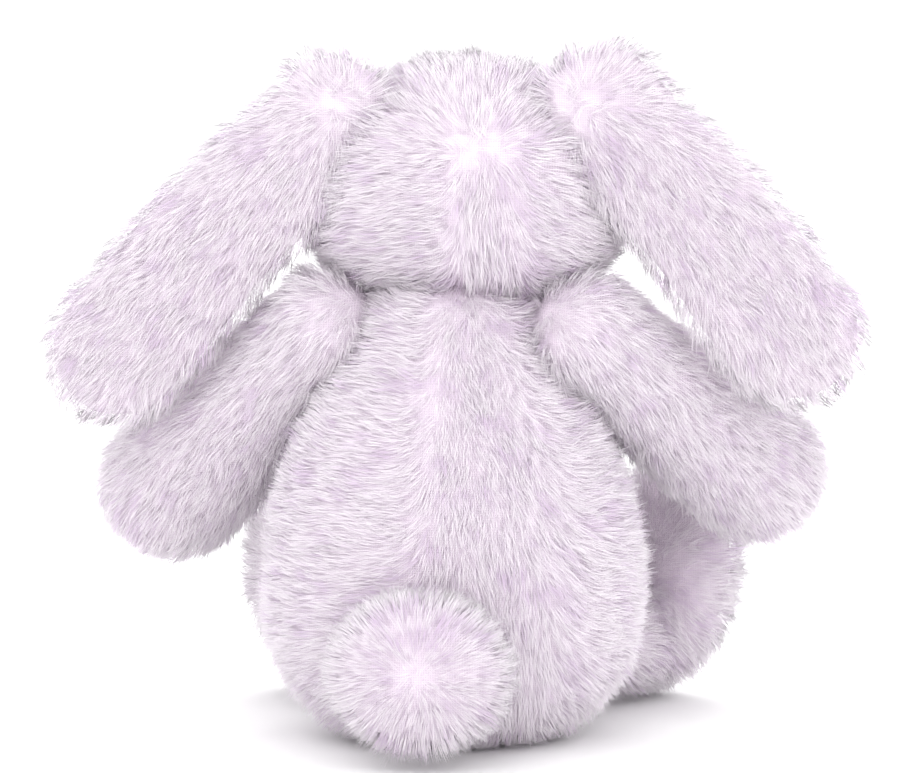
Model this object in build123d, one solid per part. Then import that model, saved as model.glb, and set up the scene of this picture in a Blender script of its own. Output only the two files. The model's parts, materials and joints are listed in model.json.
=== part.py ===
from build123d import *

import os
from math import asin, atan2, cos, degrees, radians, sin, sqrt

# A seated long-pile plush rabbit with drooping ears, in millimetres and degrees.
# +Z is up, the rabbit faces -Y and its own left side is +X. The origin is the
# centre of the flat base disc that it sits on.

# Covers and thread
COVER = 7.0  # backing cloth with its pile, as pressed by a hand
THREAD = 0.5  # radius of the gathering thread that runs around a limb's root ball
THREAD_GAP = 0.3  # between that thread and the ball, and between it and the socket
LEFT = 1
RIGHT = -1

# Torso: a pear turned about Z
BASE_RADIUS = 46.0
BASE_EDGE = 1.0  # flat rim of the side panels around the base disc
BELLY_RADIUS = 66.0
BELLY_HEIGHT = 46.0
NECK_RADIUS = 31.0
TORSO_HEIGHT = 143.0
STUFFING_TOP = TORSO_HEIGHT - 21.0  # above this the cover is gathered solid around the neck
BACK_SEAM_Y = 0.0  # side seams, between the belly panel and the back panels

# Pouch of weighting pellets in the seat
POUCH_RADIUS = 33.0
POUCH_HEIGHT = 15.0
POUCH_FLOOR = 9.0
POUCH_ROUND = 5.0
POUCH_CLOTH = 1.0

# Head: an oval turned about its left-right axis, with a muzzle
NECK_PIVOT = (0.0, 0.0, TORSO_HEIGHT - 11.0)
NECK_BALL = 26.0
NECK_SOCKET = 27.6
NECK_CORE = 10.0  # radius of the stuffing that runs down into the neck ball
HEAD_HALF_WIDTH = 53.0
HEAD_HALF_HEIGHT = 44.0
HEAD_CENTRE = (-4.0, -6.0, TORSO_HEIGHT + HEAD_HALF_HEIGHT + 3.0)
HEAD_CHEEK = 38.0  # radius of the oval's two rounder ends
GUSSET_HALF_WIDTH = 16.0
MUZZLE_RADIUS = 20.0
MUZZLE_FORWARD = HEAD_HALF_HEIGHT - 13.0
MUZZLE_DROP = HEAD_HALF_HEIGHT / 4

# Safety eyes with their washers
EYE_RADIUS = 6.0
EYE_OUT = 27.0
EYE_DROP = 2.0
STEM_RADIUS = 1.8
STEM_CLEARANCE = 0.1
WASHER_RADIUS = 7.0
WASHER_THICKNESS = 1.6

# Embroidery
NOSE_WIDTH = 13.0
NOSE_HEIGHT = 8.0
NOSE_LIFT = 5.0
STITCH_HEIGHT = 1.0
STITCH_WIDTH = 1.6
MOUTH_DROP = 7.0
MOUTH_REACH = 6.0

# Ears: long flat lobes that hang from the top of the head
EAR_BALL = 11.0
EAR_SOCKET = 18.0
EAR_OUT = HEAD_HALF_WIDTH + 2.5
EAR_BACK = 16.0
EAR_RISE = HEAD_HALF_HEIGHT - 23.0
EAR_DROOP = {LEFT: 50.0, RIGHT: 53.0}
EAR_LENGTH = 98.0
EAR_TIP_RADIUS = 25.0
EAR_SHOULDER_RADIUS = 24.0
EAR_SHOULDER = 56.0
EAR_THICKNESS = 18.0
EAR_ROUND = EAR_THICKNESS / 2 - 0.5
EAR_COVER = 5.0
EAR_RING = 4.5

# Arms: tapered, larger at the paw
ARM_BALL = 10.5
ARM_SOCKET = 19.0
PAW_RADIUS = 25.5
ARM_OUT = BELLY_RADIUS + 0.6 * PAW_RADIUS - 26.3  # a larger paw hangs further out
ARM_BACK = -4.0
ARM_HEIGHT = TORSO_HEIGHT - 19.0
ARM_LENGTH = PAW_RADIUS * 46 / 17
ARM_DROOP = {LEFT: 40.0, RIGHT: 35.0}
ARM_FORWARD = {LEFT: 32.0, RIGHT: 42.0}
ARM_COVER = 6.0
ARM_RING = 4.5

# Legs: short, with an upright rounded foot at the end
LEG_BALL = 14.0
LEG_SOCKET = 20.0
LEG_OUT = 33.0
LEG_FRONT = BELLY_RADIUS - 13.0
LEG_HEIGHT = 25.0
LEG_LENGTH = 40.0
LEG_SPLAY = 33.0
ANKLE_RADIUS = 19.0
LEG_DROP = 2.0  # how far the ankle lies below the hip
FOOT_HALF_WIDTH = 25.0
FOOT_HALF_HEIGHT = 38.0
FOOT_THICKNESS = 34.0
FOOT_ROUND = 14.0
FOOT_LIFT = 14.5  # foot's centre above the ankle
FOOT_FORWARD = 5.0
FOOT_ROLL = 20.0  # toes lean outwards
LEG_COVER = 6.0
SOLE_THICKNESS = 3.0
SOLE_EDGE = 8.0  # cover left around the sole pad
LEG_RING = 4.0

# Tail: a round pompom on the back
TAIL_BALL = 9.0
TAIL_SOCKET = 10.6
TAIL_PIVOT = (0.0, BELLY_RADIUS - 3.0, 33.0)
TAIL_OUT = 17.6
TAIL_RADIUS = 30.5
TAIL_DEPTH = 14.0
TAIL_RIM = 12.0  # radius of its rounded rim
TAIL_COVER = 6.0
TAIL_RING = 5.0


def curve_at(centre, radius, start, end):
    """Arc in the XZ plane about a centre, between two angles measured up from +X."""
    x, z = centre
    points = []
    for angle in (start, (start + end) / 2, end):
        points.append((x + radius * cos(radians(angle)), 0, z + radius * sin(radians(angle))))
    return ThreePointArc(*points)


def turned(outline, axis=Axis.Z):
    """Solid made by turning a closed outline about an axis."""
    return revolve(make_face(outline), axis=axis)


def oval_side(long_half, short_half, end_radius):
    """An oval of tangent arcs: how far out its end centres lie, and its side arcs' radius."""
    end_out = long_half - end_radius
    side_radius = (end_out**2 + short_half**2 - end_radius**2) / (2 * (short_half - end_radius))
    return end_out, side_radius


def long_oval(long_half, short_half, end_radius, inset=0):
    """Oval turned about its long axis, which is Z, and inset evenly."""
    end_out, side_radius = oval_side(long_half, short_half, end_radius)
    side_x = short_half - side_radius
    turn = degrees(atan2(end_out, -side_x))
    low = curve_at((0, -end_out), end_radius - inset, -90, -turn)
    side = curve_at((side_x, 0), side_radius - inset, -turn, turn)
    high = curve_at((0, end_out), end_radius - inset, turn, 90)
    return turned(low + side + high + Line(high @ 1, low @ 0))


def flat_oval(long_half, short_half, rim_radius, inset=0):
    """Oval turned about its short axis, which is Z, and inset evenly."""
    rim_out, side_radius = oval_side(long_half, short_half, rim_radius)
    side_z = side_radius - short_half
    turn = degrees(atan2(side_z, rim_out))
    low = curve_at((0, side_z), side_radius - inset, -90, -turn)
    rim = curve_at((rim_out, 0), rim_radius - inset, -turn, turn)
    high = curve_at((0, -side_z), side_radius - inset, turn, 90)
    return turned(low + rim + high + Line(high @ 1, low @ 0))


def tapered_capsule(root, tip, length):
    """Two balls and the cone that touches both, along +Z from the root ball's centre."""
    lean = degrees(asin((tip - root) / length))
    low = curve_at((0, 0), root, -90, -lean)
    high = curve_at((0, length), tip, -lean, 90)
    side = Line(low @ 1, high @ 0)
    return turned(low + side + high + Line(high @ 1, low @ 0))


def frame_along(origin, direction, across=(0, 1, 0)):
    """Plane at a pivot whose +Z runs along a limb and whose +X lies square to it."""
    direction = Vector(*direction).normalized()
    return Plane(origin=origin, x_dir=Vector(*across).cross(direction), z_dir=direction)


def halves(solid, plane):
    """The two sides of a solid, the one that the plane's normal points to first."""
    return split(solid, bisect_by=plane, keep=Keep.TOP), split(solid, bisect_by=plane, keep=Keep.BOTTOM)


def seam_ring(pivot, ball, ring, toward):
    """Gathering thread around a root ball, on the side that faces the parent."""
    sphere = ball + THREAD_GAP + THREAD
    place = Plane(origin=pivot, z_dir=Vector(*toward).normalized())
    return place * Pos(0, 0, sqrt(sphere**2 - ring**2)) * Torus(ring, THREAD)


def socket(pivot, radius):
    """Hollow in the parent, about a limb's pivot, that leaves its root free to turn."""
    return Pos(*pivot) * Sphere(radius)


def side_arc(end_radius, end_height):
    """Centre and radius of the arc that leaves the widest line upright and meets a rim."""
    run = BELLY_RADIUS - end_radius
    radius = (run**2 + (end_height - BELLY_HEIGHT) ** 2) / (2 * run)
    return BELLY_RADIUS - radius, radius


def torso_body(inset, top):
    """Pear-shaped solid, inset evenly from the outer surface and cut off at a height."""
    low_x, low_radius = side_arc(BASE_RADIUS, 0)
    high_x, high_radius = side_arc(NECK_RADIUS, TORSO_HEIGHT)
    low_radius -= inset
    high_radius -= inset
    low_angle = degrees(asin((inset - BELLY_HEIGHT) / low_radius))
    high_angle = degrees(asin((top - BELLY_HEIGHT) / high_radius))
    low = curve_at((low_x, BELLY_HEIGHT), low_radius, low_angle, 0)
    high = curve_at((high_x, BELLY_HEIGHT), high_radius, 0, high_angle)
    base = Line((0, 0, inset), low @ 0)
    cap = Line(high @ 1, (0, 0, top))
    return turned(base + low + high + cap + Line((0, 0, top), (0, 0, inset)))


def ear_pivot(side):
    return (HEAD_CENTRE[0] + side * EAR_OUT, HEAD_CENTRE[1] + EAR_BACK, HEAD_CENTRE[2] + EAR_RISE)


def arm_pivot(side):
    return (side * ARM_OUT, ARM_BACK, ARM_HEIGHT)


def leg_pivot(side):
    return (side * LEG_OUT, -LEG_FRONT, LEG_HEIGHT)


def make_torso():
    sockets = [socket(NECK_PIVOT, NECK_SOCKET), socket(TAIL_PIVOT, TAIL_SOCKET)]
    for side in (LEFT, RIGHT):
        sockets.append(socket(arm_pivot(side), ARM_SOCKET))
        sockets.append(socket(leg_pivot(side), LEG_SOCKET))
    filling = torso_body(COVER, STUFFING_TOP)
    cover = torso_body(0, TORSO_HEIGHT) - filling - sockets
    disc = Pos(0, 0, COVER / 2) * Cylinder(BASE_RADIUS - BASE_EDGE, COVER)
    back, belly = halves(cover - disc, Plane.XZ.offset(-BACK_SEAM_Y).rotated((180, 0, 0)))
    back_left, back_right = halves(back, Plane.YZ)
    pouch = Cylinder(POUCH_RADIUS, POUCH_HEIGHT)
    pouch = Pos(0, 0, POUCH_FLOOR + POUCH_HEIGHT / 2) * fillet(pouch.edges(), POUCH_ROUND)
    pellets = Cylinder(POUCH_RADIUS - POUCH_CLOTH, POUCH_HEIGHT - 2 * POUCH_CLOTH)
    pellets = fillet(pellets.edges(), POUCH_ROUND - POUCH_CLOTH)
    pellets = Pos(0, 0, POUCH_FLOOR + POUCH_HEIGHT / 2) * pellets
    return {
        "torso_back_panel_left": back_left,
        "torso_back_panel_right": back_right,
        "torso_belly_panel": belly,
        "torso_base_disc": disc,
        "torso_stuffing": filling - sockets - pouch,
        "bean_pouch": pouch - pellets,
        "bean_pellets": pellets,
    }


def head_oval(inset):
    oval = long_oval(HEAD_HALF_WIDTH, HEAD_HALF_HEIGHT, HEAD_CHEEK, inset)
    return Pos(*HEAD_CENTRE) * Rotation(0, 90, 0) * oval


def muzzle(extra):
    """Round muzzle, grown evenly by a little for what is stitched onto it."""
    x, y, z = HEAD_CENTRE
    return Pos(x, y - MUZZLE_FORWARD, z - MUZZLE_DROP) * Sphere(MUZZLE_RADIUS + extra)


def eye_frame(side):
    """Plane on the face where an eye sits, its normal pointing out of the head."""
    side_radius = oval_side(HEAD_HALF_WIDTH, HEAD_HALF_HEIGHT, HEAD_CHEEK)[1]
    rise = sqrt(side_radius**2 - EYE_OUT**2)
    around = rise + HEAD_HALF_HEIGHT - side_radius
    drop = asin(EYE_DROP / around)
    outward = Vector(0, -cos(drop), -sin(drop))
    across = Vector(side * EYE_OUT, 0, 0)
    return Plane(origin=Vector(*HEAD_CENTRE) + across + outward * around, z_dir=across + outward * rise)


def make_eye(side):
    """Domed eye with its stem, the washer that locks it, and the hole they need."""
    frame = eye_frame(side)
    dome = split(Sphere(EYE_RADIUS), bisect_by=Plane.XY, keep=Keep.TOP)
    stem_length = COVER + 2 * WASHER_THICKNESS
    stem = Pos(0, 0, -stem_length / 2) * Cylinder(STEM_RADIUS, stem_length)
    hole = Pos(0, 0, -stem_length / 2) * Cylinder(STEM_RADIUS + STEM_CLEARANCE, stem_length)
    seat = Pos(0, 0, -COVER - WASHER_THICKNESS) * Cylinder(WASHER_RADIUS, 2 * WASHER_THICKNESS)
    bed = Pos(0, 0, EYE_RADIUS / 2) * Cylinder(EYE_RADIUS, EYE_RADIUS)
    washer = Pos(0, 0, -COVER - WASHER_THICKNESS / 2) * Cylinder(WASHER_RADIUS, WASHER_THICKNESS)
    return frame * (dome + stem), frame * (washer - hole), frame * (hole + seat + bed)


def nose_outline():
    """Rounded triangle, point down, in the XZ plane."""
    half = NOSE_WIDTH / 2
    corners = Polyline((-half, 0), (half, 0), (0, -NOSE_HEIGHT), close=True)
    return fillet(make_face(corners).vertices(), NOSE_HEIGHT / 5)


def mouth_outline():
    """Short upright stitch under the nose that parts into two curves."""
    down = Pos(0, -MOUTH_DROP / 2) * Rectangle(STITCH_WIDTH, MOUTH_DROP)
    lobe = Circle(MOUTH_REACH / 2 + STITCH_WIDTH / 2) - Circle(MOUTH_REACH / 2 - STITCH_WIDTH / 2)
    lobe &= Pos(0, -MOUTH_REACH / 2) * Rectangle(2 * MOUTH_REACH, MOUTH_REACH)
    lobes = Pos(MOUTH_REACH / 2, -MOUTH_DROP) * lobe + Pos(-MOUTH_REACH / 2, -MOUTH_DROP) * lobe
    return down + lobes


def stitched(outline, lift, depth):
    """Embroidery of even height that follows the front of the muzzle."""
    x, y, z = HEAD_CENTRE
    front = Plane(origin=(x, y - MUZZLE_FORWARD, z - MUZZLE_DROP + lift), x_dir=(1, 0, 0), z_dir=(0, -1, 0))
    block = extrude(front * outline, depth)
    return (block & muzzle(STITCH_HEIGHT)) - muzzle(0)


def make_head():
    neck = Pos(*NECK_PIVOT)
    outer = head_oval(0) + muzzle(0) + neck * Sphere(NECK_BALL)
    core_height = HEAD_CENTRE[2] - NECK_PIVOT[2]
    core = neck * Pos(0, 0, core_height / 2) * Cylinder(NECK_CORE, core_height)
    filling = head_oval(COVER) + core + neck * Sphere(NECK_BALL - COVER)
    cover = outer - filling
    nodes = {}
    for side, word in ((LEFT, "left"), (RIGHT, "right")):
        eye, washer, hole = make_eye(side)
        nodes["eye_" + word] = eye
        nodes["eye_washer_" + word] = washer
        ear_socket = socket(ear_pivot(side), EAR_SOCKET)
        cover = cover - hole - ear_socket
        filling = filling - hole - ear_socket
    seam = Plane.YZ.offset(HEAD_CENTRE[0] + GUSSET_HALF_WIDTH)
    left_panel, rest = halves(cover, seam)
    middle, right_panel = halves(rest, seam.offset(-2 * GUSSET_HALF_WIDTH))
    nodes["head_panel_left"] = left_panel
    nodes["head_panel_right"] = right_panel
    nodes["head_gusset"] = middle
    nodes["head_stuffing"] = filling
    reach = MUZZLE_RADIUS + 2 * STITCH_HEIGHT
    nodes["nose_stitching"] = stitched(nose_outline(), NOSE_LIFT + NOSE_HEIGHT / 2, reach)
    nodes["mouth_stitching"] = stitched(mouth_outline(), NOSE_LIFT - NOSE_HEIGHT / 2, reach)
    nodes["neck_stitching"] = neck * Torus(NECK_BALL + THREAD_GAP + THREAD, THREAD)
    return nodes


def ear_lobe(inset):
    """Flat rounded lobe along +Z from the root, lying in the XZ plane."""
    shoulder = Pos(0, EAR_SHOULDER) * Circle(EAR_SHOULDER_RADIUS - inset)
    tip = Pos(0, EAR_LENGTH) * Circle(EAR_TIP_RADIUS - inset)
    root = Pos(0, inset) * Circle(EAR_BALL - inset)
    outline = make_hull((root + shoulder + tip).edges())
    lobe = extrude(Plane.XZ * outline, EAR_THICKNESS / 2 - inset, both=True)
    return fillet(lobe.edges(), EAR_ROUND - inset)


def make_ear(side, word):
    angle = radians(EAR_DROOP[side])
    frame = frame_along(ear_pivot(side), (side * cos(angle), 0, -sin(angle)))
    wadding = ear_lobe(EAR_COVER)
    cover = ear_lobe(0) + Sphere(EAR_BALL) - wadding
    behind, before = halves(cover, Plane.XZ.rotated((180, 0, 0)))
    name = "ear_" + word
    return {
        name + "_back": frame * behind,
        name + "_lining": frame * before,
        name + "_wadding": frame * wadding,
        name + "_stitching": seam_ring(ear_pivot(side), EAR_BALL, EAR_RING, (-side, 0, 0)),
    }


def make_arm(side, word):
    droop = radians(ARM_DROOP[side])
    forward = radians(ARM_FORWARD[side])
    direction = (side * cos(droop) * cos(forward), -cos(droop) * sin(forward), -sin(droop))
    frame = frame_along(arm_pivot(side), direction)
    filling = tapered_capsule(ARM_BALL - ARM_COVER, PAW_RADIUS - ARM_COVER, ARM_LENGTH)
    cover = tapered_capsule(ARM_BALL, PAW_RADIUS, ARM_LENGTH) - filling
    outer, inner = halves(cover, Plane.YZ if side == RIGHT else Plane.YZ.rotated((0, 180, 0)))
    name = "arm_" + word
    return {
        name + "_outer_panel": frame * outer,
        name + "_inner_panel": frame * inner,
        name + "_stuffing": frame * filling,
        name + "_stitching": seam_ring(arm_pivot(side), ARM_BALL, ARM_RING, (-side, 0, 0)),
    }


def foot(inset):
    """Upright rounded foot, its sole square to +Y in the leg's own frame."""
    outline = Ellipse(FOOT_HALF_WIDTH - inset, FOOT_HALF_HEIGHT - inset)
    block = extrude(Plane.XZ * outline, FOOT_THICKNESS / 2 - inset, both=True)
    return fillet(block.edges(), FOOT_ROUND - inset)


def leg_shape(inset, side):
    """Leg in its own frame: the hip at the origin, the sole facing -Y and the toes up."""
    tilt = degrees(atan2(LEG_DROP, LEG_LENGTH))
    calf = tapered_capsule(LEG_BALL - inset, ANKLE_RADIUS - inset, LEG_LENGTH)
    calf = Rotation(90 + tilt, 0, 0) * calf
    place = Pos(0, -LEG_LENGTH - FOOT_FORWARD, FOOT_LIFT - LEG_DROP) * Rotation(0, side * FOOT_ROLL, 0)
    return calf + place * foot(inset), place


def make_leg(side, word):
    frame = Pos(*leg_pivot(side)) * Rotation(0, 0, side * LEG_SPLAY)
    outer, place = leg_shape(0, side)
    filling, _ = leg_shape(LEG_COVER, side)
    sole = Ellipse(FOOT_HALF_WIDTH - SOLE_EDGE, FOOT_HALF_HEIGHT - SOLE_EDGE)
    sole = place * Pos(0, -FOOT_THICKNESS / 2 + SOLE_THICKNESS, 0) * extrude(Plane.XZ * sole, SOLE_THICKNESS)
    upper, lower = halves(outer - filling - sole, Plane.XY.offset(-LEG_DROP))
    name = "leg_" + word
    return {
        name + "_upper_panel": frame * upper,
        name + "_lower_panel": frame * lower,
        name + "_sole_pad": frame * sole,
        name + "_stuffing": frame * filling,
        name + "_stitching": seam_ring(leg_pivot(side), LEG_BALL, LEG_RING, (-side * 0.53, 0.8, 0.25)),
    }


def make_tail():
    place = Pos(*TAIL_PIVOT) * Pos(0, TAIL_OUT, 0) * Rotation(90, 0, 0)
    filling = place * flat_oval(TAIL_RADIUS, TAIL_DEPTH, TAIL_RIM, TAIL_COVER)
    cover = place * flat_oval(TAIL_RADIUS, TAIL_DEPTH, TAIL_RIM) + Pos(*TAIL_PIVOT) * Sphere(TAIL_BALL)
    return {
        "tail_cover": cover - filling,
        "tail_stuffing": filling,
        "tail_stitching": seam_ring(TAIL_PIVOT, TAIL_BALL, TAIL_RING, (0, -1, 0)),
    }


def main():
    nodes = make_torso() | make_head() | make_tail()
    for side, word in ((LEFT, "left"), (RIGHT, "right")):
        nodes |= make_ear(side, word)
        nodes |= make_arm(side, word)
        nodes |= make_leg(side, word)
    os.makedirs("parts", exist_ok=True)
    for name, solid in nodes.items():
        solid.label = name
        export_step(solid, os.path.join("parts", name + ".step"))


main()
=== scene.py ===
"""A seated long-pile plush rabbit with drooping ears, finished over its CAD frame.

Each soft part is a skin of backing cloth, puffed up over its seams, with a filling inside and
locks of pile outside. A lock is a bunch of fine closed hairs that lean one way and share a tip.
Lengths are metres. The rabbit faces -Y and its own left side is +X.
"""

import json
import math

import bpy
import numpy as np
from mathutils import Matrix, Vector

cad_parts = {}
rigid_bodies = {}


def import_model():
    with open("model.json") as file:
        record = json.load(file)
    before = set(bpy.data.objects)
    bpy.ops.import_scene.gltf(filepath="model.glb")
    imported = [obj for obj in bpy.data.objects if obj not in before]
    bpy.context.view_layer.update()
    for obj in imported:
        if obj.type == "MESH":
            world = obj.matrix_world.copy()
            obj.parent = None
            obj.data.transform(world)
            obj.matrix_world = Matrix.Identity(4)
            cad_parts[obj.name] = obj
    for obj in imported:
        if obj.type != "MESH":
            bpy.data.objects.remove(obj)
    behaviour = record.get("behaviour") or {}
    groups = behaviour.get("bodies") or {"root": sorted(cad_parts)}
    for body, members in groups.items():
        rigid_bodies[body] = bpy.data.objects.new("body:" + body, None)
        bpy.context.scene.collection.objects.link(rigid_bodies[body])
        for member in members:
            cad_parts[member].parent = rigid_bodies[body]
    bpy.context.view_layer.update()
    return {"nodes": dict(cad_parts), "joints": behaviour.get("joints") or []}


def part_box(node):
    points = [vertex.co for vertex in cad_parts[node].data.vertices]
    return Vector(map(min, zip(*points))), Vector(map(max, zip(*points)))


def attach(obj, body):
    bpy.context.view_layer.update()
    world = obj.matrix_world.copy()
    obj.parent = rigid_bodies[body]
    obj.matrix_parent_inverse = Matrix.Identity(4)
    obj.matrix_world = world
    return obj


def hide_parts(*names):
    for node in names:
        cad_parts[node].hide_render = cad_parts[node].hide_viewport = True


bl_info = {
    "name": "Plush rabbit",
    "version": (1, 0, 0),
    "blender": (4, 5, 0),
    "location": "View3D > Sidebar > Plush rabbit",
    "description": "Skins, fillings, pile and trimmings of a seated plush rabbit",
    "category": "Object",
}

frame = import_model()
JOINTS = {joint["name"]: joint for joint in frame["joints"]}
SIDES = {"left": 1.0, "right": -1.0}
UP = np.array([0.0, 0.0, 1.0])
OUT_X = np.array([1.0, 0.0, 0.0])
OUT_Y = np.array([0.0, 1.0, 0.0])


# Shared arithmetic


def unit(vectors):
    """Each vector divided by its length."""
    return vectors / np.maximum(np.linalg.norm(vectors, axis=-1, keepdims=True), 1e-9)


def dot(a, b):
    """Dot product of each pair of vectors, kept as a column."""
    return (a * b).sum(-1, keepdims=True)


def softened(vectors, radius):
    """Each vector divided by its length, or by the radius where that is longer."""
    return vectors / np.maximum(np.linalg.norm(vectors, axis=-1, keepdims=True), radius)


def ease(low, high, value):
    """0 up to low, 1 from high, and the smooth cubic 3t^2 - 2t^3 between them."""
    t = np.clip((value - low) / (high - low), 0.0, 1.0)
    return t * t * (3 - 2 * t)


def ripple(points, wave, seed):
    """Smooth noise of about -1 to 1: the sum of seven sine waves of about one length, each
    running in its own direction."""
    rng = np.random.default_rng(seed)
    heading = unit(rng.normal(size=(7, 3))) * 2 * np.pi / wave * rng.uniform(0.7, 1.4, (7, 1))
    return np.sin(points @ heading.T + rng.uniform(0, 2 * np.pi, 7)).sum(1) / 3.2


def pivot(joint):
    """Place of a joint in the frame."""
    return np.array(JOINTS[joint]["pos_m"])


def box_centre(node):
    """Middle of a CAD node's box."""
    low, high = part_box(node)
    return np.array((low + high) / 2)


# Surfaces


def carried(centre, side, out, half_side, half_out, roundness=2.0, turns=56):
    """A ring carried along a path. At each station the ring is the centre, plus the turn's
    cosine times half_side along side, plus its sine times half_out along out. A roundness
    above 2 raises both to the power 2 / roundness, which squares the ring up."""
    turn = np.linspace(0, 2 * np.pi, turns, endpoint=False)
    c, s = np.cos(turn), np.sin(turn)
    c = np.sign(c) * np.abs(c) ** (2 / roundness)
    s = np.sign(s) * np.abs(s) ** (2 / roundness)
    ring = half_side[:, None, None] * c[:, None] * side + half_out[:, None, None] * s[:, None] * out
    return centre[:, None, :] + ring


def rings_mesh(grid):
    """Points and faces of rings whose first and last have shrunk to poles, facing outwards."""
    count, turns = grid.shape[:2]
    points = np.concatenate([grid[:1, 0], grid[1:-1].reshape(-1, 3), grid[-1:, 0]])
    a = 1 + np.arange((count - 3) * turns).reshape(-1, turns)
    b = np.roll(a, -1, axis=1)
    quads = np.stack([a, b, b + turns, a + turns], -1).reshape(-1, 4)
    ring = 1 + np.arange(turns)
    following = np.roll(ring, -1)
    last = (count - 3) * turns
    start = np.stack([np.zeros_like(ring), following, ring], -1)
    end = np.stack([ring + last, following + last, np.full_like(ring, len(points) - 1)], -1)
    middle = points.mean(0)
    p = points[quads] - middle
    volume = dot(np.cross(p[:, 0], p[:, 1]), p[:, 2]) + dot(np.cross(p[:, 0], p[:, 2]), p[:, 3])
    faces = quads.tolist() + start.tolist() + end.tolist()
    if volume.sum() < 0:
        faces = [face[::-1] for face in faces]
    return points, faces


def new_piece(name, grids, material):
    """Object of one or more closed ring surfaces, smooth shaded."""
    points, faces, offset = [], [], 0
    for grid in grids:
        p, f = rings_mesh(grid)
        points.append(p)
        faces += [[i + offset for i in face] for face in f]
        offset += len(p)
    mesh = bpy.data.meshes.new(name)
    mesh.from_pydata(np.concatenate(points).tolist(), [], faces)
    mesh.polygons.foreach_set("use_smooth", [True] * len(faces))
    mesh.materials.append(material)
    obj = bpy.data.objects.new(name, mesh)
    bpy.context.scene.collection.objects.link(obj)
    return obj


def settle(obj):
    """Replaces a piece's mesh by what its modifiers make of it, and drops them."""
    bpy.context.view_layer.update()
    made = bpy.data.meshes.new_from_object(obj.evaluated_get(bpy.context.evaluated_depsgraph_get()))
    obj.modifiers.clear()
    obj.data = made
    made.polygons.foreach_set("use_smooth", [True] * len(made.polygons))


def vertices_of(mesh):
    """Points and smooth normals of a mesh."""
    points = np.empty(len(mesh.vertices) * 3, np.float32)
    normals = np.empty_like(points)
    mesh.vertices.foreach_get("co", points)
    mesh.vertex_normals.foreach_get("vector", normals)
    return points.reshape(-1, 3).astype(float), normals.reshape(-1, 3).astype(float)


def puff(obj, seams, cap, voxel=0.004):
    """Blows a skin up as its filling does, and holds it at its seams. The skin is remeshed
    evenly, and cloth under pressure swells it between the seams, each point by at most cap."""
    remesh = obj.modifiers.new("even", "REMESH")
    remesh.mode = "VOXEL"
    remesh.voxel_size = voxel
    smooth = obj.modifiers.new("soften", "SMOOTH")
    smooth.factor, smooth.iterations = 0.5, 6
    settle(obj)
    before, _ = vertices_of(obj.data)
    group = obj.vertex_groups.new(name="seams")
    held = seams(before)
    group.add(np.nonzero(held < 1.0)[0].tolist(), 1.0, "REPLACE")
    cloth = obj.modifiers.new("filling", "CLOTH")
    cloth.settings.vertex_group_mass = "seams"
    cloth.settings.use_pressure = True
    cloth.settings.uniform_pressure_force = 4.0
    cloth.settings.effector_weights.gravity = 0.0
    cloth.settings.quality = 6
    for step in range(1, 21):
        bpy.context.scene.frame_set(step)
    settle(obj)
    obj.vertex_groups.clear()
    bpy.context.scene.frame_set(1)
    after, _ = vertices_of(obj.data)
    moved = after - before
    far = np.linalg.norm(moved, axis=1, keepdims=True)
    moved *= np.minimum(1.0, cap / np.maximum(far, 1e-9))
    obj.data.vertices.foreach_set("co", (before + moved).astype(np.float32).ravel())
    obj.data.update()
    subdivide = obj.modifiers.new("round", "SUBSURF")
    subdivide.levels = subdivide.render_levels = 1
    settle(obj)


# Pile


def scatter(mesh, spacing, rng):
    """Points spread over a mesh by area, one for each square of that spacing, and the normals
    there. Each point is a mix of its triangle's corners by three random shares."""
    mesh.calc_loop_triangles()
    corners = np.empty(len(mesh.loop_triangles) * 3, np.int32)
    mesh.loop_triangles.foreach_get("vertices", corners)
    corners = corners.reshape(-1, 3)
    points, normals = vertices_of(mesh)
    a, b, c = (points[corners[:, k]] for k in range(3))
    area = np.cumsum(np.linalg.norm(np.cross(b - a, c - a), axis=1) / 2)
    count = int(area[-1] / spacing**2)
    chosen = np.searchsorted(area, (np.arange(count) + rng.random(count)) / count * area[-1])
    share = rng.dirichlet((1.0, 1.0, 1.0), count)[:, :, None]
    return (points[corners[chosen]] * share).sum(1), unit((normals[corners[chosen]] * share).sum(1))


def turned_about(vectors, normals, angles):
    """Vectors square to the normals, turned about them: v cos + (n x v) sin."""
    angles = angles[:, None]
    return vectors * np.cos(angles) + np.cross(normals, vectors) * np.sin(angles)


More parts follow.
